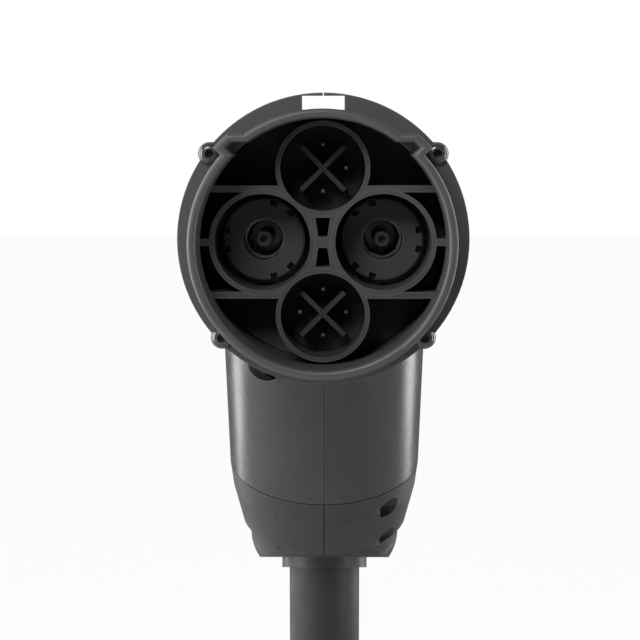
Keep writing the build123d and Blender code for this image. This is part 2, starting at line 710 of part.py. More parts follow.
with BuildPart() as housing_right:
    add(housing.part)
    split(bisect_by=Plane.YZ.offset(SEAM_GAP / 2), keep=Keep.TOP)
    add(housing_tongue.part)
housing_right.part.label = "housing_right"

# ---------------------------------------------------------------- latch lever, its pin and spring
with BuildPart() as latch_lever:
    with BuildSketch(Plane.YZ):
        with BuildLine():
            Polyline(
                (LEVER_FRONT, LEVER_BOTTOM),
                (LEVER_BACK, LEVER_BOTTOM),
                (LEVER_BACK, LEVER_PAD_TOP),
                (LEVER_BACK - LEVER_PAD_LENGTH, LEVER_PAD_TOP),
                (LEVER_BACK - LEVER_PAD_LENGTH - 3, LEVER_TOP),
                (LEVER_FRONT + 4, LEVER_TOP),
                (LEVER_FRONT + 1, FINGER_TOP),
                (FINGER_TIP, FINGER_TOP),
                (FINGER_TIP, FINGER_TOP - FINGER_THICKNESS),
                (LEVER_FRONT - 1, FINGER_TOP - FINGER_THICKNESS),
                (LEVER_FRONT, LEVER_TOP),
                close=True,
            )
        make_face()
    extrude(amount=lever_half_width, both=True)
    ribs = [LEVER_BACK - 2 - 2.2 * i for i in range(4)]
    with BuildSketch(Plane.YZ):
        for y in ribs:
            with Locations((y, LEVER_PAD_TOP)):
                Rectangle(0.8, 1.0)
    extrude(amount=lever_half_width, both=True, mode=Mode.SUBTRACT)
    with BuildSketch(Plane.YZ):
        with Locations((LEVER_PIVOT_Y, LEVER_PIVOT_Z)):
            Circle(LATCH_PIN_RADIUS + RUNNING_CLEARANCE)
    extrude(amount=TRAY_HALF_WIDTH, both=True, mode=Mode.SUBTRACT)
latch_lever.part.label = "latch_lever"

with BuildPart() as latch_pin:
    with BuildSketch(Plane.YZ):
        with Locations((LEVER_PIVOT_Y, LEVER_PIVOT_Z)):
            Circle(LATCH_PIN_RADIUS)
    extrude(amount=TRAY_HALF_WIDTH + TRAY_WALL - 0.3, both=True)
latch_pin.part.label = "latch_pin"

spring_heel = LEVER_BACK - 2 - SPRING_LENGTH
with BuildPart() as latch_spring:
    with BuildSketch(Plane.YZ):
        with BuildLine():
            Polyline(
                (spring_heel, TRAY_FLOOR),
                (LEVER_BACK - 6, TRAY_FLOOR),
                (LEVER_BACK - 2, TRAY_FLOOR + SPRING_RISE - SPRING_THICKNESS),
                (LEVER_BACK - 2.4, TRAY_FLOOR + SPRING_RISE),
                (LEVER_BACK - 6.3, TRAY_FLOOR + SPRING_THICKNESS),
                (spring_heel, TRAY_FLOOR + SPRING_THICKNESS),
                close=True,
            )
        make_face()
    extrude(amount=SPRING_WIDTH / 2, both=True)
latch_spring.part.label = "latch_spring"

# ---------------------------------------------------------------- lock solenoid under the tray
with BuildPart() as lock_solenoid:
    with BuildSketch(Plane.XY.offset(tray_underside)):
        with Locations((0, solenoid_y)):
            RectangleRounded(SOLENOID_WIDTH, SOLENOID_LENGTH, 2)
    extrude(amount=-SOLENOID_HEIGHT)
    with BuildSketch(Plane.XY.offset(tray_underside)):
        with Locations((0, solenoid_y)):
            Circle(PLUNGER_RADIUS)
    extrude(amount=TRAY_WALL)
lock_solenoid.part.label = "lock_solenoid"

# ---------------------------------------------------------------- lower end cap
cap_inner_top = BARREL_LOW_RADIUS - SHELL_WALL - CAP_LIP_CLEARANCE
trim = radians(GLAND_TRIM)
trim_plane = Plane(origin=(0, gland_y, gland_end), x_dir=(1, 0, 0), z_dir=(0, sin(trim), cos(trim)))

with BuildPart() as end_cap:
    with BuildSketch(handle_side(BARREL_LENGTH)) as cap_profile:
        with BuildLine():
            Polyline(
                (0, CAP_GAP),
                (BARREL_LOW_RADIUS, CAP_GAP),
                (CAP_SHOULDER_RADIUS, CAP_SHOULDER),
                (CAP_WAIST_RADIUS, CAP_WAIST),
                (CAP_STEP_RADIUS, CAP_STEP),
                (CAP_BOWL_RADIUS, CAP_BOWL),
            )
            ThreePointArc((CAP_BOWL_RADIUS, CAP_BOWL), (bowl_bulge_r, bowl_bulge_t), (GLAND_RADIUS, CAP_END))
            Polyline((GLAND_RADIUS, CAP_END), (0, CAP_END), (0, CAP_GAP))
        make_face()
    revolve(axis=handle_axis)
    with BuildSketch(handle_side(BARREL_LENGTH)):
        with BuildLine():
            Polyline(
                (0, CAP_GAP),
                (CAP_SHOULDER_RADIUS - SHELL_WALL, CAP_GAP),
                (CAP_WAIST_RADIUS - SHELL_WALL, CAP_WAIST),
                (CAP_FLOOR_RADIUS, CAP_FLOOR),
                (0, CAP_FLOOR),
                close=True,
            )
        make_face()
    revolve(axis=handle_axis, mode=Mode.SUBTRACT)
    with BuildSketch(handle(BARREL_LENGTH + CAP_SHOULDER)):
        Circle(cap_inner_top)
        Circle(cap_inner_top - SHELL_WALL, mode=Mode.SUBTRACT)
    extrude(amount=-(CAP_SHOULDER + CAP_LIP_LENGTH))
    with BuildSketch(Plane.YZ):
        with Locations(*cap_screw_places):
            Circle(CROSS_BOSS_RADIUS)
    extrude(amount=CAP_RECESS_FLOOR, both=True)
    with BuildSketch(Plane.YZ.offset(CAP_RECESS_FLOOR)):
        with Locations(*cap_screw_places):
            Circle(CAP_RECESS_RADIUS)
    extrude(amount=HEAD_RADIUS, mode=Mode.SUBTRACT)
    with BuildSketch(Plane.YZ.offset(CAP_RECESS_FLOOR)):
        with Locations(*cap_screw_places):
            Circle(CROSS_SCREW_RADIUS)
    extrude(amount=-2 * CAP_RECESS_FLOOR + 2, mode=Mode.SUBTRACT)
    for way in (-1, 1):
        with BuildSketch(Plane.YZ.offset(way * SNAP_FLOOR)):
            with Locations(snap_place):
                Circle(SNAP_RADIUS)
        extrude(amount=way * SHELL_WALL, mode=Mode.SUBTRACT)
    with BuildSketch(Plane.XY.offset(gland_top)):
        with Locations((0, gland_y)):
            Circle(GLAND_RADIUS)
    extrude(amount=-SHELL_WALL * 8, mode=Mode.SUBTRACT)
    with BuildSketch(Plane.XY.offset(gland_top)):
        with Locations((0, gland_y)):
            Circle(GLAND_FLANGE_RADIUS + CAP_LIP_CLEARANCE)
    extrude(amount=CLAMP_RISE, mode=Mode.SUBTRACT)
    with Locations(drain_place):
        Box(DRAIN_WIDTH, SHELL_WALL * 2, DRAIN_HEIGHT, mode=Mode.SUBTRACT)
    split(bisect_by=trim_plane, keep=Keep.TOP)

cap_outline = [
    (0, BARREL_LOW_RADIUS),
    (CAP_SHOULDER, CAP_SHOULDER_RADIUS),
    (CAP_WAIST, CAP_WAIST_RADIUS),
    (CAP_STEP, CAP_STEP_RADIUS),
    (CAP_BOWL, CAP_BOWL_RADIUS),
    (CAP_END, GLAND_RADIUS),
]
cap_front = [beside_handle(BARREL_LENGTH + t, radius - SEAM_DEPTH) for t, radius in cap_outline]
cap_rear = [beside_handle(BARREL_LENGTH + t, SEAM_DEPTH - radius) for t, radius in cap_outline]

with BuildPart() as cap_tongue:
    add(end_cap.part)
    with BuildSketch(Plane.YZ):
        with BuildLine():
            Polyline(*cap_front, *reversed(cap_rear), close=True)
        make_face()
    extrude(amount=CAP_SEAM_GAP / 2, both=True, mode=Mode.INTERSECT)

with BuildPart() as end_cap_left:
    add(end_cap.part)
    split(bisect_by=Plane.YZ.offset(-CAP_SEAM_GAP / 2), keep=Keep.BOTTOM)
end_cap_left.part.label = "end_cap_left"

with BuildPart() as end_cap_right:
    add(end_cap.part)
    split(bisect_by=Plane.YZ.offset(CAP_SEAM_GAP / 2), keep=Keep.TOP)
    add(cap_tongue.part)
end_cap_right.part.label = "end_cap_right"

# ---------------------------------------------------------------- cable gland and clamp
with BuildPart() as cable_gland:
    with BuildSketch(Plane.XY.offset(gland_top)):
        with Locations((0, gland_y)):
            Circle(GLAND_FLANGE_RADIUS)
    extrude(amount=GLAND_FLANGE_THICKNESS)
    with BuildSketch(Plane.XY.offset(gland_top)):
        with Locations((0, gland_y)):
            Circle(GLAND_RADIUS)
    extrude(amount=gland_end - gland_top - GLAND_RADIUS)
    with BuildSketch(Plane.XY.offset(gland_top + GLAND_FLANGE_THICKNESS)):
        with Locations((0, gland_y)):
            Circle(CABLE_RADIUS)
    extrude(amount=gland_end * 2, mode=Mode.SUBTRACT)
    split(bisect_by=trim_plane.offset(-GLAND_SKIRT), keep=Keep.TOP)
cable_gland.part.label = "cable_gland"

with BuildPart() as cable_clamp:
    with BuildSketch(Plane.XY.offset(clamp_top)):
        with Locations((0, gland_y)):
            Circle(CABLE_RADIUS + CLAMP_WALL)
            Rectangle(2 * CLAMP_EAR_REACH, 2 * CLAMP_WALL)
            Circle(CABLE_RADIUS, mode=Mode.SUBTRACT)
            Rectangle(3 * CLAMP_EAR_REACH, 2 * SEAM_GAP, mode=Mode.SUBTRACT)
    extrude(amount=-CLAMP_HEIGHT)
    with BuildSketch(Plane.XZ.offset(-gland_y)):
        with Locations(*clamp_screw_spots):
            Circle(CLAMP_SCREW_RADIUS)
    extrude(amount=2 * CLAMP_WALL, both=True, mode=Mode.SUBTRACT)
cable_clamp.part.label = "cable_clamp"

with BuildPart() as clamp_screws:
    with BuildSketch(Plane.XZ.offset(CLAMP_WALL - gland_y)):
        with Locations(*clamp_screw_spots):
            Circle(CLAMP_SCREW_RADIUS)
    extrude(amount=-2 * CLAMP_WALL)
    with BuildSketch(Plane.XZ.offset(CLAMP_WALL - gland_y)):
        with Locations(*clamp_screw_spots):
            Circle(CLAMP_SCREW_RADIUS + 0.6)
    extrude(amount=CLAMP_SCREW_RADIUS)
clamp_screws.part.label = "clamp_screws"

# ---------------------------------------------------------------- screws
with BuildPart() as collar_screws:
    with BuildSketch(across(0)):
        with Locations(*screw_places):
            Circle(SCREW_RADIUS)
    extrude(amount=-SCREW_LENGTH)
    with BuildSketch(across(0)):
        with Locations(*screw_places):
            Circle(SCREW_HEAD_RADIUS)
    extrude(amount=SCREW_HEAD_HEIGHT)
    crowns = collar_screws.edges().filter_by(GeomType.CIRCLE).group_by(Axis.Y)[0]
    fillet(crowns, SCREW_HEAD_HEIGHT * 0.8)
    with BuildSketch(across(-SCREW_HEAD_HEIGHT)):
        with Locations(*screw_places):
            RegularPolygon(SCREW_SOCKET, 6)
    extrude(amount=-SCREW_HEAD_HEIGHT, mode=Mode.SUBTRACT)
collar_screws.part.label = "collar_screws"


def make_cross_screws(name, places, seat, reach):
    """Pan-head screws across the seam: heads on the seat at x = seat, shanks running back reach."""
    way = 1 if seat > 0 else -1
    with BuildPart() as screws:
        with BuildSketch(Plane.YZ.offset(seat)):
            with Locations(*places):
                Circle(CROSS_SCREW_RADIUS)
        extrude(amount=-way * reach)
        with BuildSketch(Plane.YZ.offset(seat)):
            with Locations(*places):
                Circle(CROSS_HEAD_RADIUS - 0.2)
        extrude(amount=way * CROSS_HEAD_HEIGHT)
        with BuildSketch(Plane.YZ.offset(seat + way * CROSS_HEAD_HEIGHT)):
            with Locations(*places):
                RegularPolygon(SCREW_SOCKET, 6)
        extrude(amount=-way * CROSS_HEAD_HEIGHT / 2, mode=Mode.SUBTRACT)
    screws.part.label = name
    return screws.part


housing_screws = make_cross_screws(
    "housing_screws", housing_screw_places, -HOUSING_RECESS_FLOOR, 2 * HOUSING_RECESS_FLOOR - 2
)
end_cap_screws = make_cross_screws(
    "end_cap_screws", cap_screw_places, CAP_RECESS_FLOOR, 2 * CAP_RECESS_FLOOR - 4
)


# ---------------------------------------------------------------- cores and signal harness
def make_core(name, side):
    """Power core from its crimp barrel, down the handle, to the end of the cable's sheath."""
    start = (side * well_x, contact_front + SOCKET_DEPTH + CORE_RADIUS, 0)
    points = [
        start,
        (side * well_x, 52, 0),
        (side * 10, 65, -32),
        (side * CORE_SPREAD, gland_y + CORE_SETBACK, cable_top + STRIP_LENGTH),
        (side * CORE_SPREAD, gland_y + CORE_SETBACK, cable_top),
    ]
    with BuildPart() as core:
        with BuildLine():
            path = FilletPolyline(*points, radius=[12, 12, CORE_RADIUS])
        with BuildSketch(Plane(origin=path @ 0, z_dir=path % 0)):
            Circle(CORE_RADIUS)
        sweep()
    core.part.label = name
    return core.part


power_core_left = make_core("power_core_left", -1)
power_core_right = make_core("power_core_right", 1)

boot_front = insert_back + PIN_TAIL
lane_end = gland_y - LANE_SETBACK
lane_routes = {
    1: [(0, boot_front, well_z), (0, 18, 10), (0, 28, -12), (-LANE_SPREAD, 58, -48)],
    -1: [(0, boot_front, -well_z), (LANE_SPREAD, 26, -22), (LANE_SPREAD, 55, -48)],
}

with BuildPart() as signal_harness:
    for way, route in lane_routes.items():
        strip = (-way * LANE_SPREAD, lane_end, cable_top + STRIP_LENGTH)
        with BuildLine():
            lane = FilletPolyline(*route, strip, (-way * LANE_SPREAD, lane_end, cable_top), radius=4)
        with BuildSketch(Plane(origin=lane @ 0, z_dir=lane % 0)):
            Circle(HARNESS_RADIUS)
        sweep(path=lane)
        with BuildSketch(across(boot_front)):
            with Locations((0, way * well_z)):
                Circle(PIN_CIRCLE + 2 * PIN_RADIUS)
        extrude(amount=-BOOT_THICKNESS)
signal_harness.part.label = "signal_harness"


# ---------------------------------------------------------------- cable, coil and far end
def cable_radii(points):
    """Largest tangent arc at each corner: 0.45 of the shorter run over the tangent of half the turn."""
    vectors = [Vector(*p) for p in points]
    runs = [b - a for a, b in zip(vectors, vectors[1:])]
    radii = []
    for before, after in zip(runs, runs[1:]):
        half = radians(before.get_angle(after) / 2)
        radii.append(0.45 * min(before.length, after.length) / tan(half))
    return radii


def make_cable(name, points):
    """Round cable along straight runs joined by the largest arcs they allow."""
    radii = cable_radii(points)
    with BuildPart() as cable:
        with BuildLine():
            path = FilletPolyline(*points, radius=radii)
        with BuildSketch(Plane(origin=path @ 0, z_dir=path % 0)):
            Circle(CABLE_RADIUS)
        sweep()
    ratio = cable.part.volume / (pi * CABLE_RADIUS**2 * path.length)
    print(f"{name}: {path.length:.0f} mm, volume ratio {ratio:.4f}, radii", [round(r) for r in radii])
    cable.part.label = name
    return cable.part


def coil_section(grow):
    """Rounded outline of the coil's turns, grown outwards by grow, as a sketch on its plane."""
    with BuildSketch(coil_plane) as outline:
        with Locations((COIL_RADIUS, 0)):
            RectangleRounded(
                COIL_TURNS_WIDE * cable_diameter + 2 * grow,
                COIL_TURNS_HIGH * cable_diameter + 2 * grow,
                COIL_CORNER + grow,
            )
    return outline.sketch


charge_cable = make_cable("charge_cable", drop_points)
cable_tail = make_cable("cable_tail", tail_points)

with BuildPart() as cable_coil:
    add(coil_section(0))
    revolve(axis=coil_axis)
cable_coil.part.label = "cable_coil"

with BuildPart() as coil_ties:
    add(coil_section(TIE_THICKNESS) - coil_section(0))
    revolve(axis=coil_axis, revolution_arc=degrees(TIE_WIDTH / COIL_RADIUS))
tie_solids = [coil_ties.part.rotate(coil_axis, angle) for angle in TIE_ANGLES]
tie_group = Compound(children=tie_solids, label="coil_ties")

tail_end = Plane(origin=tail_points[-1], z_dir=Vector(*tail_points[-1]) - Vector(*tail_points[-2]))
with BuildPart() as cable_end_cap:
    with BuildSketch(tail_end.offset(TIE_THICKNESS)):
        Circle(CABLE_RADIUS + TIE_THICKNESS)
    extrude(amount=-END_CAP_LENGTH)
    crown = cable_end_cap.edges().filter_by(GeomType.CIRCLE).sort_by(Axis.Y)[0]
    fillet(crown, TIE_THICKNESS)
    with BuildSketch(tail_end):
        Circle(CABLE_RADIUS)
    extrude(amount=-END_CAP_LENGTH, mode=Mode.SUBTRACT)
cable_end_cap.part.label = "cable_end_cap"

# ---------------------------------------------------------------- write one file per piece
pieces = [
    nose_shell.part, contact_carrier.part, carrier_webs.part, carrier_seal.part, rear_retainer.part,
    power_well_left, power_well_right, signal_well_top, signal_well_bottom,
    power_insulator_left, power_insulator_right, power_contact_left, power_contact_right,
    finger_guard_left, finger_guard_right, signal_insert_top, signal_insert_bottom,
    signal_pins_top, signal_pins_bottom, housing_left.part, housing_right.part,
    latch_lever.part, latch_pin.part, latch_spring.part, lock_solenoid.part,
    end_cap_left.part, end_cap_right.part, cable_gland.part, cable_clamp.part, clamp_screws.part,
    collar_screws.part, housing_screws, end_cap_screws,
    power_core_left, power_core_right, signal_harness.part,
    charge_cable, cable_coil.part, tie_group, cable_tail, cable_end_cap.part,
]
os.makedirs("parts", exist_ok=True)
for piece in pieces:
    export_step(piece, f"parts/{piece.label}.step")
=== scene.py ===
"""Finishes, lead, lights and camera for a direct-current vehicle charging plug."""
import logging
from dataclasses import dataclass, field
from enum import Enum
from math import cos, pi, radians, sin

import bmesh
import bpy
from mathutils import Matrix, Vector


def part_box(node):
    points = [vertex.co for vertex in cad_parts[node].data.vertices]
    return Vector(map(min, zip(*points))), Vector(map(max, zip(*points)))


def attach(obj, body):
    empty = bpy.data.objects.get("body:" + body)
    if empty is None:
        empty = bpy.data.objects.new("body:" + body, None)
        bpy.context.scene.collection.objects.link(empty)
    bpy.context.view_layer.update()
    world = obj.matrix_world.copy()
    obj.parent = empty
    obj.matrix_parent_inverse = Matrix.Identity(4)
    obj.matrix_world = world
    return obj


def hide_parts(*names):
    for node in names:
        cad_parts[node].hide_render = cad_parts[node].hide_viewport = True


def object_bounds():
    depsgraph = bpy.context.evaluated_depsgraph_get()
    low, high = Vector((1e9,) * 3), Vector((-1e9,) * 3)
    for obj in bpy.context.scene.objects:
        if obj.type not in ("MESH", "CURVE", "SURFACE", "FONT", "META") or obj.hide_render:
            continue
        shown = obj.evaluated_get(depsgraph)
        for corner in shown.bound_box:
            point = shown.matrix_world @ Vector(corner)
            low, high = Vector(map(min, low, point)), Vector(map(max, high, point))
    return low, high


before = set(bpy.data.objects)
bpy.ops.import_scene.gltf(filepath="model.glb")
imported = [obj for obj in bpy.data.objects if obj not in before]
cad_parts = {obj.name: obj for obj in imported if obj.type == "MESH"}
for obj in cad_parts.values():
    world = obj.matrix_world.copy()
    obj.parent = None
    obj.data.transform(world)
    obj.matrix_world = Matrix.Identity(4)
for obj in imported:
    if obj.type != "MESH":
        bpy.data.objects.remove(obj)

log = logging.getLogger("charging_plug")
CAD_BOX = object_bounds()

Point = tuple[float, float, float]
Colour = tuple[float, float, float]

# Patterns per metre, and the span of each pattern that shows.
PATCH_SCALE = 38.0
PATCH_SPAN = (0.3, 0.72)
RUB_SCALE = 95.0
RUB_SPAN = (0.35, 0.65)
SPECK_SCALE = 900.0
SPECK_SPAN = (0.68, 0.8)

# Painted edge highlight: how far the bevel looks, and how far its normal turns from none to the
# full painted highlight.
EDGE_REACH = 0.0009
EDGE_SPAN = (0.995, 0.8)
# Pale colour of the painted highlight laid along edges.
EDGE_HIGHLIGHT_COLOUR = (0.32, 0.32, 0.33, 1.0)
DUST_COLOUR = (0.28, 0.27, 0.26, 1.0)

COAT_ROUGHNESS = 0.15
RELIEF_DEPTH = 0.0002
CELL_SHARE = 0.6
CELL_WEIGHT = 0.5
DRAWN_STRETCH = (1.0, 1.0, 0.02)
TURNED_STRETCH = (1.0, 0.04, 1.0)
WELD_DISTANCE = 1e-6


class Grain(Enum):
    """Kinds of fine surface relief."""

    SPARK = "spark-eroded mould grain"
    POLISH = "polished mould with faint flow marks"
    DRAWN = "lines along the length"
    TURNED = "lines round the axis"


class NodeGraph:
    """Thin helper that adds and joins shader nodes."""

    def __init__(self, tree: bpy.types.NodeTree) -> None:
        """Take the tree and clear it.

        Args:
            tree: The node tree to fill.
        """
        self.tree = tree
        self.tree.nodes.clear()

    def add(self, kind: str, **values: object) -> bpy.types.Node:
        """Add a node and set its properties or its unlinked inputs.

        Args:
            kind: The node's type name, without the ShaderNode prefix.
            values: Property names, or input names with spaces as underscores.

        Returns:
            The new node.
        """
        node = self.tree.nodes.new("ShaderNode" + kind)
        for name, value in values.items():
            if hasattr(node, name) and name not in ("color",):
                setattr(node, name, value)
            else:
                node.inputs[name.replace("_", " ")].default_value = value
        return node

    def join(self, source: bpy.types.Node, output: str | int, target: bpy.types.Node,
             name: str | int) -> None:
        """Link one node's output to another node's input.

        Args:
            source: The node that gives the value.
            output: The name or number of its output.
            target: The node that takes the value.
            name: The name or number of its input.
        """
        self.tree.links.new(source.outputs[output], target.inputs[name])

    def spread(self, source: bpy.types.Node, output: str, span: tuple[float, float],
               to: tuple[float, float]) -> bpy.types.Node:
        """Stretch a value from one span onto another.

        Args:
            source: The node that gives the value.
            output: The name of its output.
            span: The span that the value is read over.
            to: The span that it is stretched onto.

        Returns:
            The node, whose output is named Result.
        """
        node = self.add("MapRange")
        node.inputs["From Min"].default_value = span[0]
        node.inputs["From Max"].default_value = span[1]
        node.inputs["To Min"].default_value = to[0]
        node.inputs["To Max"].default_value = to[1]
        self.join(source, output, node, "Value")
        return node

    def tinted(self, amount: bpy.types.Node, under: bpy.types.Node,
               colour: tuple[float, float, float, float]) -> bpy.types.Node:
        """Lay one colour over another.

        Args:
            amount: The node whose Result says how much shows.
            under: The node that gives the colour underneath.
            colour: The colour laid over it.

        Returns:
            The node, whose output is named Color.
        """
        node = self.add("MixRGB", blend_type="MIX")
        node.inputs["Color2"].default_value = colour
        self.join(amount, "Result", node, "Fac")
        self.join(under, "Color", node, "Color1")
        return node


@dataclass(frozen=True)
class Finish:
    """A procedural surface: two close colours, uneven gloss and fine relief.

    Attributes:
        name: The material's name.
        dark: Linear colour at one end of the soft patches.
        light: Linear colour at the other end of the soft patches.
        rough: Lowest and highest roughness.
        grain: Kind of fine relief.
        grain_size: Patterns per metre of the relief.
        relief: Strength of the relief, from 0 to 1.
        metallic: 1 for bare metal and 0 for the rest.
        coat: Weight of the clear skin over the surface.
        painted_edge_highlight: How much lighter the edges are painted, as a painted highlight along
            them.
        dust: How much pale dust lies in the colour.
    """

    name: str
    dark: Colour
    light: Colour
    rough: tuple[float, float] = (0.35, 0.5)
    grain: Grain = Grain.SPARK
    grain_size: float = 2600.0
    relief: float = 0.12
    metallic: float = 0.0
    coat: float = 0.0
    painted_edge_highlight: float = 0.0
    dust: float = 0.0

    def material(self) -> bpy.types.Material:
        """Build the material.

        Returns:
            The finished node material.
        """
        material = bpy.data.materials.new(self.name)
        material.use_nodes = True
        graph = NodeGraph(material.node_tree)
        place = graph.add("TexCoord")
        shader = graph.add("BsdfPrincipled", Metallic=self.metallic)
        shader.inputs["Coat Weight"].default_value = self.coat
        shader.inputs["Coat Roughness"].default_value = COAT_ROUGHNESS
        output = graph.add("OutputMaterial")
        graph.join(shader, "BSDF", output, "Surface")
        self._colour(graph, place, shader)
        self._gloss(graph, place, shader)
        self._relief(graph, place, shader)
        return material

    def _colour(self, graph: NodeGraph, place: bpy.types.Node, shader: bpy.types.Node) -> None:
        """Vary the colour in soft patches, with an optional painted highlight along edges and dust.
        """
        patches = graph.add("TexNoise", Scale=PATCH_SCALE, Detail=5.0, Roughness=0.6)
        graph.join(place, "Object", patches, "Vector")
        ramp = graph.add("ValToRGB")
        ramp.color_ramp.elements[0].position = PATCH_SPAN[0]
        ramp.color_ramp.elements[0].color = (*self.dark, 1.0)
        ramp.color_ramp.elements[1].position = PATCH_SPAN[1]
        ramp.color_ramp.elements[1].color = (*self.light, 1.0)
        graph.join(patches, "Fac", ramp, "Fac")
        last = ramp
        # Painted highlight: edges, found where the bevel normal turns away, are painted lighter,
        # standing in for light catching them.
        if self.painted_edge_highlight > 0:
            bevel = graph.add("Bevel", samples=4, Radius=EDGE_REACH)
            normal = graph.add("NewGeometry")
            turn = graph.add("VectorMath", operation="DOT_PRODUCT")
            graph.join(bevel, "Normal", turn, 0)
            graph.join(normal, "Normal", turn, 1)
            edge = graph.spread(turn, "Value", EDGE_SPAN, (0.0, self.painted_edge_highlight))
            last = graph.tinted(edge, last, EDGE_HIGHLIGHT_COLOUR)
        if self.dust > 0:
            specks = graph.add("TexNoise", Scale=SPECK_SCALE, Detail=2.0, Roughness=0.5)
            graph.join(place, "Object", specks, "Vector")
            pick = graph.spread(specks, "Fac", SPECK_SPAN, (0.0, self.dust))
            last = graph.tinted(pick, last, DUST_COLOUR)
        graph.join(last, "Color", shader, "Base Color")

    def _gloss(self, graph: NodeGraph, place: bpy.types.Node, shader: bpy.types.Node) -> None:
        """Vary the roughness as handling does."""
        rubs = graph.add("TexNoise", Scale=RUB_SCALE, Detail=6.0, Roughness=0.55, Distortion=0.3)
        graph.join(place, "Object", rubs, "Vector")
        spread = graph.spread(rubs, "Fac", RUB_SPAN, self.rough)
        graph.join(spread, "Result", shader, "Roughness")

    def _relief(self, graph: NodeGraph, place: bpy.types.Node, shader: bpy.types.Node) -> None:
        """Add the fine relief of the grain."""
        bump = graph.add("Bump", Strength=self.relief, Distance=RELIEF_DEPTH)
        if self.grain in (Grain.DRAWN, Grain.TURNED):
            stretch = graph.add("Mapping")
            along = DRAWN_STRETCH if self.grain is Grain.DRAWN else TURNED_STRETCH
            stretch.inputs["Scale"].default_value = along
            graph.join(place, "Object", stretch, "Vector")
            source, output = stretch, "Vector"
        else:
            source, output = place, "Object"
        fine = graph.add("TexNoise", Scale=self.grain_size, Detail=3.0, Roughness=0.6)
        graph.join(source, output, fine, "Vector")
        if self.grain is Grain.SPARK:
            cells = graph.add("TexVoronoi", Scale=self.grain_size * CELL_SHARE)
            graph.join(source, output, cells, "Vector")
            blend = graph.add("Math", operation="MULTIPLY_ADD")
            blend.inputs[1].default_value = CELL_WEIGHT
            graph.join(cells, "Distance", blend, 0)
            graph.join(fine, "Fac", blend, 2)
            graph.join(blend, "Value", bump, "Height")
        else:
            graph.join(fine, "Fac", bump, "Height")
        graph.join(bump, "Normal", shader, "Normal")


SHELL = Finish("satin_shell_plastic", (0.030, 0.030, 0.031), (0.037, 0.037, 0.038), (0.22, 0.29),
               grain_size=3000.0, relief=0.10, painted_edge_highlight=0.10, dust=0.04)
CAP = Finish("satin_cap_plastic", (0.020, 0.020, 0.021), (0.026, 0.026, 0.027), (0.42, 0.52),
             grain_size=2600.0, relief=0.16, painted_edge_highlight=0.10, dust=0.10)
NOSE = Finish("smooth_nose_plastic", (0.050, 0.050, 0.052), (0.062, 0.062, 0.064), (0.40, 0.50),
              grain=Grain.POLISH, grain_size=1400.0, relief=0.06, painted_edge_highlight=0.16, dust=0.15)
CARRIER = Finish("matt_carrier_plastic", (0.040, 0.040, 0.041), (0.050, 0.050, 0.051), (0.45, 0.58),
                 grain_size=2200.0, relief=0.12, painted_edge_highlight=0.12, dust=0.12)
INSULATOR = Finish("insulator_plastic", (0.040, 0.040, 0.042), (0.052, 0.052, 0.054), (0.38, 0.50),
                   grain=Grain.POLISH, grain_size=1800.0, relief=0.08, painted_edge_highlight=0.16)
INSERT = Finish("signal_insert_plastic", (0.016, 0.016, 0.017), (0.022, 0.022, 0.023), (0.5, 0.62),
                relief=0.1, painted_edge_highlight=0.10)
SEAL = Finish("seal_rubber", (0.010, 0.010, 0.010), (0.016, 0.016, 0.016), (0.6, 0.75),
              relief=0.2)
SHEATH = Finish("cable_sheath_rubber", (0.010, 0.010, 0.011), (0.014, 0.014, 0.015), (0.50, 0.62),
                grain=Grain.POLISH, grain_size=900.0, relief=0.10, dust=0.15)
SILVER = Finish("silver_plate", (0.36, 0.35, 0.33), (0.50, 0.49, 0.46), (0.28, 0.40),
                grain=Grain.TURNED, grain_size=2400.0, relief=0.08, metallic=1.0)
STEEL = Finish("plated_steel", (0.45, 0.45, 0.46), (0.58, 0.58, 0.59), (0.25, 0.40),
               grain=Grain.TURNED, grain_size=2400.0, relief=0.10, metallic=1.0)
BLACK_STEEL = Finish("black_oxide_steel", (0.030, 0.030, 0.032), (0.045, 0.045, 0.048),
                     (0.14, 0.24),
                     grain=Grain.POLISH, grain_size=1600.0, relief=0.05, painted_edge_highlight=0.2, coat=0.5)
CORE_RED = Finish("red_core_rubber", (0.34, 0.020, 0.016), (0.42, 0.028, 0.022), (0.4, 0.5),
                  relief=0.08)
CORE_BLACK = Finish("black_core_rubber", (0.016, 0.016, 0.016), (0.024, 0.024, 0.024),
                    (0.4, 0.5), relief=0.08)
TIE = Finish("hook_and_loop_strap", (0.012, 0.012, 0.013), (0.030, 0.030, 0.031), (0.75, 0.9),
             grain_size=1500.0, relief=0.6)

CAD_FINISHES: dict[str, Finish] = {
    "nose_shell": NOSE, "contact_carrier": CARRIER, "carrier_webs": CARRIER,
    "power_well_left": CARRIER, "power_well_right": CARRIER,
    "signal_well_top": CARRIER, "signal_well_bottom": CARRIER,
    "carrier_seal": SEAL, "rear_retainer": INSULATOR,
    "power_insulator_left": INSULATOR, "power_insulator_right": INSULATOR,
    "power_contact_left": SILVER, "power_contact_right": SILVER,
    "finger_guard_left": INSULATOR, "finger_guard_right": INSULATOR,
    "signal_insert_top": INSERT, "signal_insert_bottom": INSERT,
    "signal_pins_top": SILVER, "signal_pins_bottom": SILVER,
    "housing_left": SHELL, "housing_right": SHELL, "latch_lever": INSULATOR, "latch_pin": STEEL,
    "latch_spring": STEEL, "lock_solenoid": STEEL, "end_cap_left": CAP, "end_cap_right": CAP,
    "cable_gland": CAP, "cable_clamp": STEEL, "clamp_screws": STEEL, "collar_screws": BLACK_STEEL,
    "housing_screws": BLACK_STEEL, "end_cap_screws": BLACK_STEEL, "power_core_left": CORE_RED,
    "power_core_right": CORE_BLACK, "signal_harness": CORE_BLACK, "coil_ties": TIE,
    "cable_end_cap": SEAL,
}


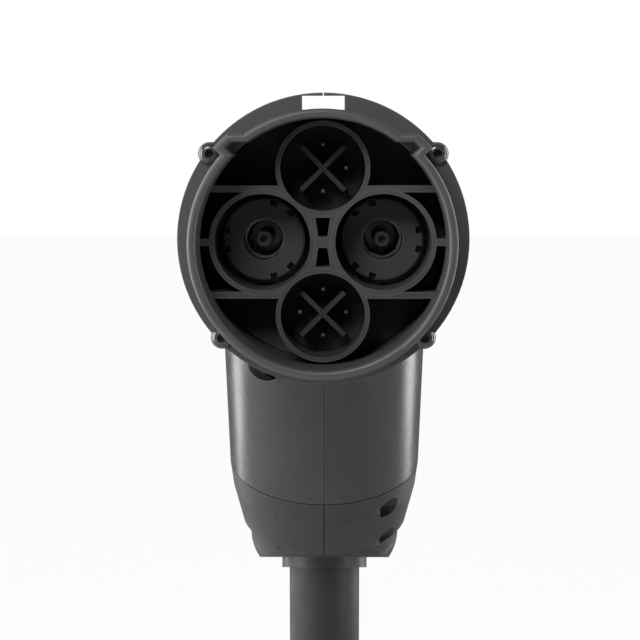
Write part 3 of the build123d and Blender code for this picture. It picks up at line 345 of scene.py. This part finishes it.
def mesh_object(name: str, shape: bmesh.types.BMesh, finish: bpy.types.Material,
                smooth: bool = True) -> bpy.types.Object:
    """Turn a bmesh into a linked object with one material.

    Args:
        name: The piece's name.
        shape: The finished shape, which is freed here.
        finish: The material for all faces.
        smooth: Whether the faces shade smoothly.

    Returns:
        The new object, at the origin.
    """
    bmesh.ops.remove_doubles(shape, verts=shape.verts, dist=WELD_DISTANCE)
    bmesh.ops.recalc_face_normals(shape, faces=shape.faces)
    for face in shape.faces:
        face.smooth = smooth
    mesh = bpy.data.meshes.new(name)
    shape.to_mesh(mesh)
    shape.free()
    piece = bpy.data.objects.new(name, mesh)
    bpy.context.collection.objects.link(piece)
    mesh.materials.append(finish)
    return piece


def middle(node: str) -> Vector:
    """Give the centre of a CAD node's box."""
    low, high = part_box(node)
    return (Vector(low) + Vector(high)) / 2


@dataclass
class Dresser:
    """Gives every CAD node its finish."""

    materials: dict[str, bpy.types.Material] = field(default_factory=dict)

    def material(self, finish: Finish) -> bpy.types.Material:
        """Build each finish once and give it back after that.

        Args:
            finish: The finish wanted.

        Returns:
            Its material.
        """
        if finish.name not in self.materials:
            self.materials[finish.name] = finish.material()
        return self.materials[finish.name]

    def dress(self) -> None:
        """Assign the finishes to the CAD nodes."""
        for name, finish in CAD_FINISHES.items():
            node = bpy.data.objects[name]
            node.data.materials.clear()
            node.data.materials.append(self.material(finish))
            log.info("dressed %s with %s", name, finish.name)


# The lead's route from the clamp to the floor, backwards and downwards, in runs.
DROP_ROUTE = ((0.0, 0.0), (0.0, 1.0), (0.5, 1.866), (1.366, 2.366), (2.266, 2.366))

# The tail's points after the last turn: inwards, forwards, and up from the floor, with the first
# two above it measured from the upper layer.
TAIL_UPPER = ((0.0, 0.0, 0.0), (0.001, 0.060, 0.003))
TAIL_LOWER = ((0.005, 0.120, 0.004), (0.013, 0.180, 0.0))


@dataclass
class Lead:
    """The charging lead: it drops from the clamp, bends back and lies down into a tied coil.

    Attributes:
        diameter: Outside diameter of the sheath.
        exit: Where the lead leaves the clamp.
        run: Distance between the points of the drop.
        turns: Turns in the coil, two beside each other in two layers. The last is half a turn.
        coil_radius: Radius of the middle of the coil's turns.
        lead_in: How far past the end of the drop the coil's centre lies.
        steps: Points in one turn.
        shift_from: Share of a turn after which it moves over to the next.
    """

    diameter: float = 0.023
    exit: Point = (0.0, 0.080, -0.076)
    run: float = 0.100
    turns: int = 4
    coil_radius: float = 0.132
    lead_in: float = 0.030
    steps: int = 16
    shift_from: float = 0.8

    def drop(self) -> list[Point]:
        """List the route's points from the clamp to the floor."""
        x, y, top = self.exit
        return [(x, y + self.run * back, top - self.run * down) for back, down in DROP_ROUTE]

    def coil(self) -> list[Point]:
        """Work out the coil: outer and inner turn on the floor, then inner and outer turn above."""
        start = self.drop()[-1]
        half = self.diameter / 2
        outer = self.coil_radius + half
        inner = self.coil_radius - half
        centre = Vector((outer, start[1] + self.lead_in, start[2]))
        columns = [outer, inner, inner, outer]
        levels = [0.0, 0.0, self.diameter, self.diameter]
        points: list[Point] = []
        total = self.turns * self.steps - self.steps // 2
        for step in range(total + 1):
            now, part = divmod(step, self.steps)
            radius, level = columns[now], levels[now]
            share = part / self.steps
            if share > self.shift_from and now + 1 < self.turns:
                ease = (share - self.shift_from) / (1 - self.shift_from)
                ease = ease * ease * (3 - 2 * ease)
                radius += (columns[now + 1] - radius) * ease
                level += (levels[now + 1] - level) * ease
            angle = pi - 2 * pi * step / self.steps
            points.append(
                (centre.x + radius * cos(angle), centre.y + radius * sin(angle), centre.z + level))
        return points

    def tail(self) -> list[Point]:
        """List the points from the last turn down to the capped end."""
        start = self.drop()[-1]
        x = 2 * (self.coil_radius + self.diameter / 2)
        y, floor = start[1], start[2]
        upper = floor + self.diameter
        high = [(x - inward, y - ahead, upper - under) for inward, ahead, under in TAIL_UPPER]
        low = [(x - inward, y - ahead, floor + over) for inward, ahead, over in TAIL_LOWER]
        return high + low

    def build(self, sheath: bpy.types.Material) -> bpy.types.Object:
        """Make the lead as one smooth curve.

        Args:
            sheath: The sheath's material.

        Returns:
            The lead's curve object.
        """
        points = self.drop() + self.coil() + self.tail()
        curve = bpy.data.curves.new("charging_lead", "CURVE")
        curve.dimensions = "3D"
        curve.bevel_depth = self.diameter / 2
        curve.bevel_resolution = 8
        curve.use_fill_caps = True
        curve.resolution_u = 10
        spline = curve.splines.new("NURBS")
        spline.points.add(len(points) - 1)
        for control, point in zip(spline.points, points):
            control.co = (*point, 1.0)
        spline.order_u = 3
        spline.use_endpoint_u = True
        lead = bpy.data.objects.new("charging_lead", curve)
        bpy.context.collection.objects.link(lead)
        curve.materials.append(sheath)
        return lead

    def length(self, lead: bpy.types.Object) -> float:
        """Measure the centreline.

        Args:
            lead: The lead's curve object.

        Returns:
            Its length in metres.
        """
        probe = lead.copy()
        probe.data = lead.data.copy()
        probe.data.bevel_depth = 0.0
        mesh = bpy.data.meshes.new_from_object(probe)
        spots = [vertex.co.copy() for vertex in mesh.vertices]
        bpy.data.objects.remove(probe)
        bpy.data.meshes.remove(mesh)
        return sum((b - a).length for a, b in zip(spots, spots[1:]))


@dataclass
class PowerSocketDetail:
    """Slotted spring fingers inside a power contact, seen past its guard post.

    Attributes:
        side: -1 for the left contact and 1 for the right.
        fingers: Fingers round the bore.
        cover: Share of the round that the fingers fill.
        radius: Radius of the fingers at the mouth.
        wall: How far they close in along their length.
        length: Their length.
        setback: How far behind the contact's mouth they begin.
    """

    side: int
    fingers: int = 8
    cover: float = 0.82
    radius: float = 0.00485
    wall: float = 0.0006
    length: float = 0.012
    setback: float = 0.0006

    def build(self, metal: bpy.types.Material) -> bpy.types.Object:
        """Make the ring of fingers.

        Args:
            metal: The contact metal.

        Returns:
            The finished piece.
        """
        name = "left" if self.side < 0 else "right"
        low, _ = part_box(f"power_contact_{name}")
        centre = middle(f"power_contact_{name}")
        shape = bmesh.new()
        sweep = 2 * pi / self.fingers * self.cover
        for finger in range(self.fingers):
            angle = 2 * pi * finger / self.fingers
            edge = [
                shape.verts.new((self.radius, 0.0, 0.0)),
                shape.verts.new((self.radius - self.wall * 0.6, self.length * 0.3, 0.0)),
                shape.verts.new((self.radius - self.wall, self.length, 0.0)),
            ]
            rail = [shape.edges.new(pair) for pair in zip(edge, edge[1:])]
            around = Matrix.Rotation(angle, 3, "Y")
            bmesh.ops.rotate(shape, verts=edge, cent=(0, 0, 0), matrix=around)
            bmesh.ops.spin(shape, geom=edge + rail, cent=(0, 0, 0), axis=(0, 1, 0), angle=sweep,
                           steps=5)
        everything = shape.faces[:] + shape.edges[:] + shape.verts[:]
        bmesh.ops.solidify(shape, geom=everything, thickness=self.wall * 0.5)
        mouth = (centre.x, low[1] + self.setback, centre.z)
        bmesh.ops.translate(shape, verts=shape.verts, vec=mouth)
        return mesh_object(f"contact_fingers_{name}", shape, metal)


@dataclass(frozen=True)
class Softbox:
    """One rectangular soft lamp.

    Attributes:
        name: The lamp's name.
        spot: Where it stands.
        aim: The point that it faces.
        size: Its width and height.
        watts: Its power.
    """

    name: str
    spot: Point
    aim: Point
    size: tuple[float, float]
    watts: float


HANDLE_MIDDLE = (0.0, 0.04, -0.05)
SOFTBOXES = (
    Softbox("softbox_left", (-0.85, -0.22, 0.02), HANDLE_MIDDLE, (0.50, 0.90), 11.0),
    Softbox("strip_right", (0.72, -0.24, -0.05), HANDLE_MIDDLE, (0.06, 0.90), 3.4),
    Softbox("softbox_front", (-0.30, -0.80, 0.60), (0.0, 0.0, 0.0), (0.40, 0.40), 7.0),
    Softbox("rim_left", (-0.60, 0.45, 0.0), HANDLE_MIDDLE, (0.25, 0.90), 4.0),
    Softbox("rim_right", (0.60, 0.45, 0.0), HANDLE_MIDDLE, (0.25, 0.90), 4.0),
)


class Studio:
    """Floor, soft lamps, surroundings and camera.

    Attributes:
        focal: The lens's focal length in millimetres.
        eye: Where the camera stands.
        pitch: How far it is turned up from straight down, in degrees.
        yaw: How far it is turned to the left, in degrees.
        floor_size: Half the floor's width.
        floor_gap: How far the floor lies under the lowest piece.
        floor_glow: Share of the floor's light that is its own, as the camera sees it.
        around_span: The part of the surroundings, front to back, over which they brighten.
        around_light: Their strength in front and behind.
    """

    focal: float = 98.7
    eye: Point = (0.0025, -0.488, 0.027)
    pitch: float = 84.14
    yaw: float = 0.40
    floor_size: float = 6.0
    floor_gap: float = 0.0002
    floor_glow: float = 0.96
    around_span: tuple[float, float] = (-0.75, 0.45)
    around_light: tuple[float, float] = (0.03, 0.32)

    def camera(self) -> None:
        """Place the camera in front of the nose, a little above its axis."""
        data = bpy.data.cameras.new("camera")
        data.lens = self.focal
        data.sensor_width = 36.0
        data.clip_start = 0.01
        data.clip_end = 50.0
        camera = bpy.data.objects.new("camera", data)
        bpy.context.collection.objects.link(camera)
        camera.location = self.eye
        camera.rotation_euler = (radians(self.pitch), 0.0, radians(self.yaw))
        bpy.context.scene.camera = camera

    def lamp(self, box: Softbox) -> None:
        """Add one softbox.

        Args:
            box: The softbox wanted.
        """
        data = bpy.data.lights.new(box.name, "AREA")
        data.shape = "RECTANGLE"
        data.size, data.size_y = box.size
        data.energy = box.watts
        lamp = bpy.data.objects.new(box.name, data)
        bpy.context.collection.objects.link(lamp)
        lamp.location = box.spot
        facing = Vector(box.aim) - Vector(box.spot)
        lamp.rotation_euler = facing.to_track_quat("-Z", "Y").to_euler()

    def floor(self, height: float) -> None:
        """Lay the pale floor.

        Args:
            height: Its level.
        """
        shape = bmesh.new()
        bmesh.ops.create_grid(shape, x_segments=1, y_segments=1, size=self.floor_size)
        bmesh.ops.translate(shape, verts=shape.verts, vec=(0.0, 0.0, height))
        material = bpy.data.materials.new("pale_floor")
        material.use_nodes = True
        graph = NodeGraph(material.node_tree)
        place = graph.add("TexCoord")
        mottle = graph.add("TexNoise", Scale=3.0, Detail=2.0)
        graph.join(place, "Object", mottle, "Vector")
        tint = graph.add("ValToRGB")
        tint.color_ramp.elements[0].color = (0.50, 0.50, 0.50, 1.0)
        tint.color_ramp.elements[1].color = (0.54, 0.54, 0.54, 1.0)
        graph.join(mottle, "Fac", tint, "Fac")
        matt = graph.add("BsdfDiffuse")
        graph.join(tint, "Color", matt, "Color")
        glow = graph.add("Emission", Strength=1.0)
        ray = graph.add("LightPath")
        share = graph.add("Math", operation="MULTIPLY")
        share.inputs[1].default_value = self.floor_glow
        graph.join(ray, "Is Camera Ray", share, 0)
        mix = graph.add("MixShader")
        graph.join(share, "Value", mix, "Fac")
        graph.join(matt, "BSDF", mix, 1)
        graph.join(glow, "Emission", mix, 2)
        output = graph.add("OutputMaterial")
        graph.join(mix, "Shader", output, "Surface")
        mesh_object("studio_floor", shape, material, smooth=False)

    def world(self) -> None:
        """Surround the object with soft light, brighter behind it than in front."""
        world = bpy.data.worlds.new("surroundings")
        bpy.context.scene.world = world
        world.use_nodes = True
        graph = NodeGraph(world.node_tree)
        place = graph.add("TexCoord")
        split = graph.add("SeparateXYZ")
        graph.join(place, "Generated", split, "Vector")
        depth = graph.spread(split, "Y", self.around_span, self.around_light)
        ray = graph.add("LightPath")
        level = graph.add("Math", operation="MAXIMUM")
        graph.join(depth, "Result", level, 0)
        graph.join(ray, "Is Camera Ray", level, 1)
        around = graph.add("Background")
        around.inputs["Color"].default_value = (1.0, 1.0, 1.0, 1.0)
        graph.join(level, "Value", around, "Strength")
        output = graph.add("OutputWorld")
        graph.join(around, "Background", output, "Surface")

    def build(self) -> None:
        """Set up the whole studio."""
        bpy.context.scene.view_settings.view_transform = "Standard"
        self.camera()
        self.world()
        for box in SOFTBOXES:
            self.lamp(box)
        self.floor(CAD_BOX[0][2] - self.floor_gap)


def main() -> None:
    """Build and dress every sub-assembly in order."""
    logging.basicConfig(level=logging.INFO, format="%(message)s")
    studio = Studio()
    studio.build()
    dresser = Dresser()
    dresser.dress()

    lead = Lead()
    cable = lead.build(dresser.material(SHEATH))
    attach(cable, "plug")
    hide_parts("charge_cable", "cable_coil", "cable_tail")
    length = lead.length(cable)
    log.info("made %s, %.2f m long", cable.name, length)

    for side in (-1, 1):
        fingers = PowerSocketDetail(side).build(dresser.material(SILVER))
        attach(fingers, "plug")
        log.info("made %s", fingers.name)


if __name__ == "__main__":
    main()
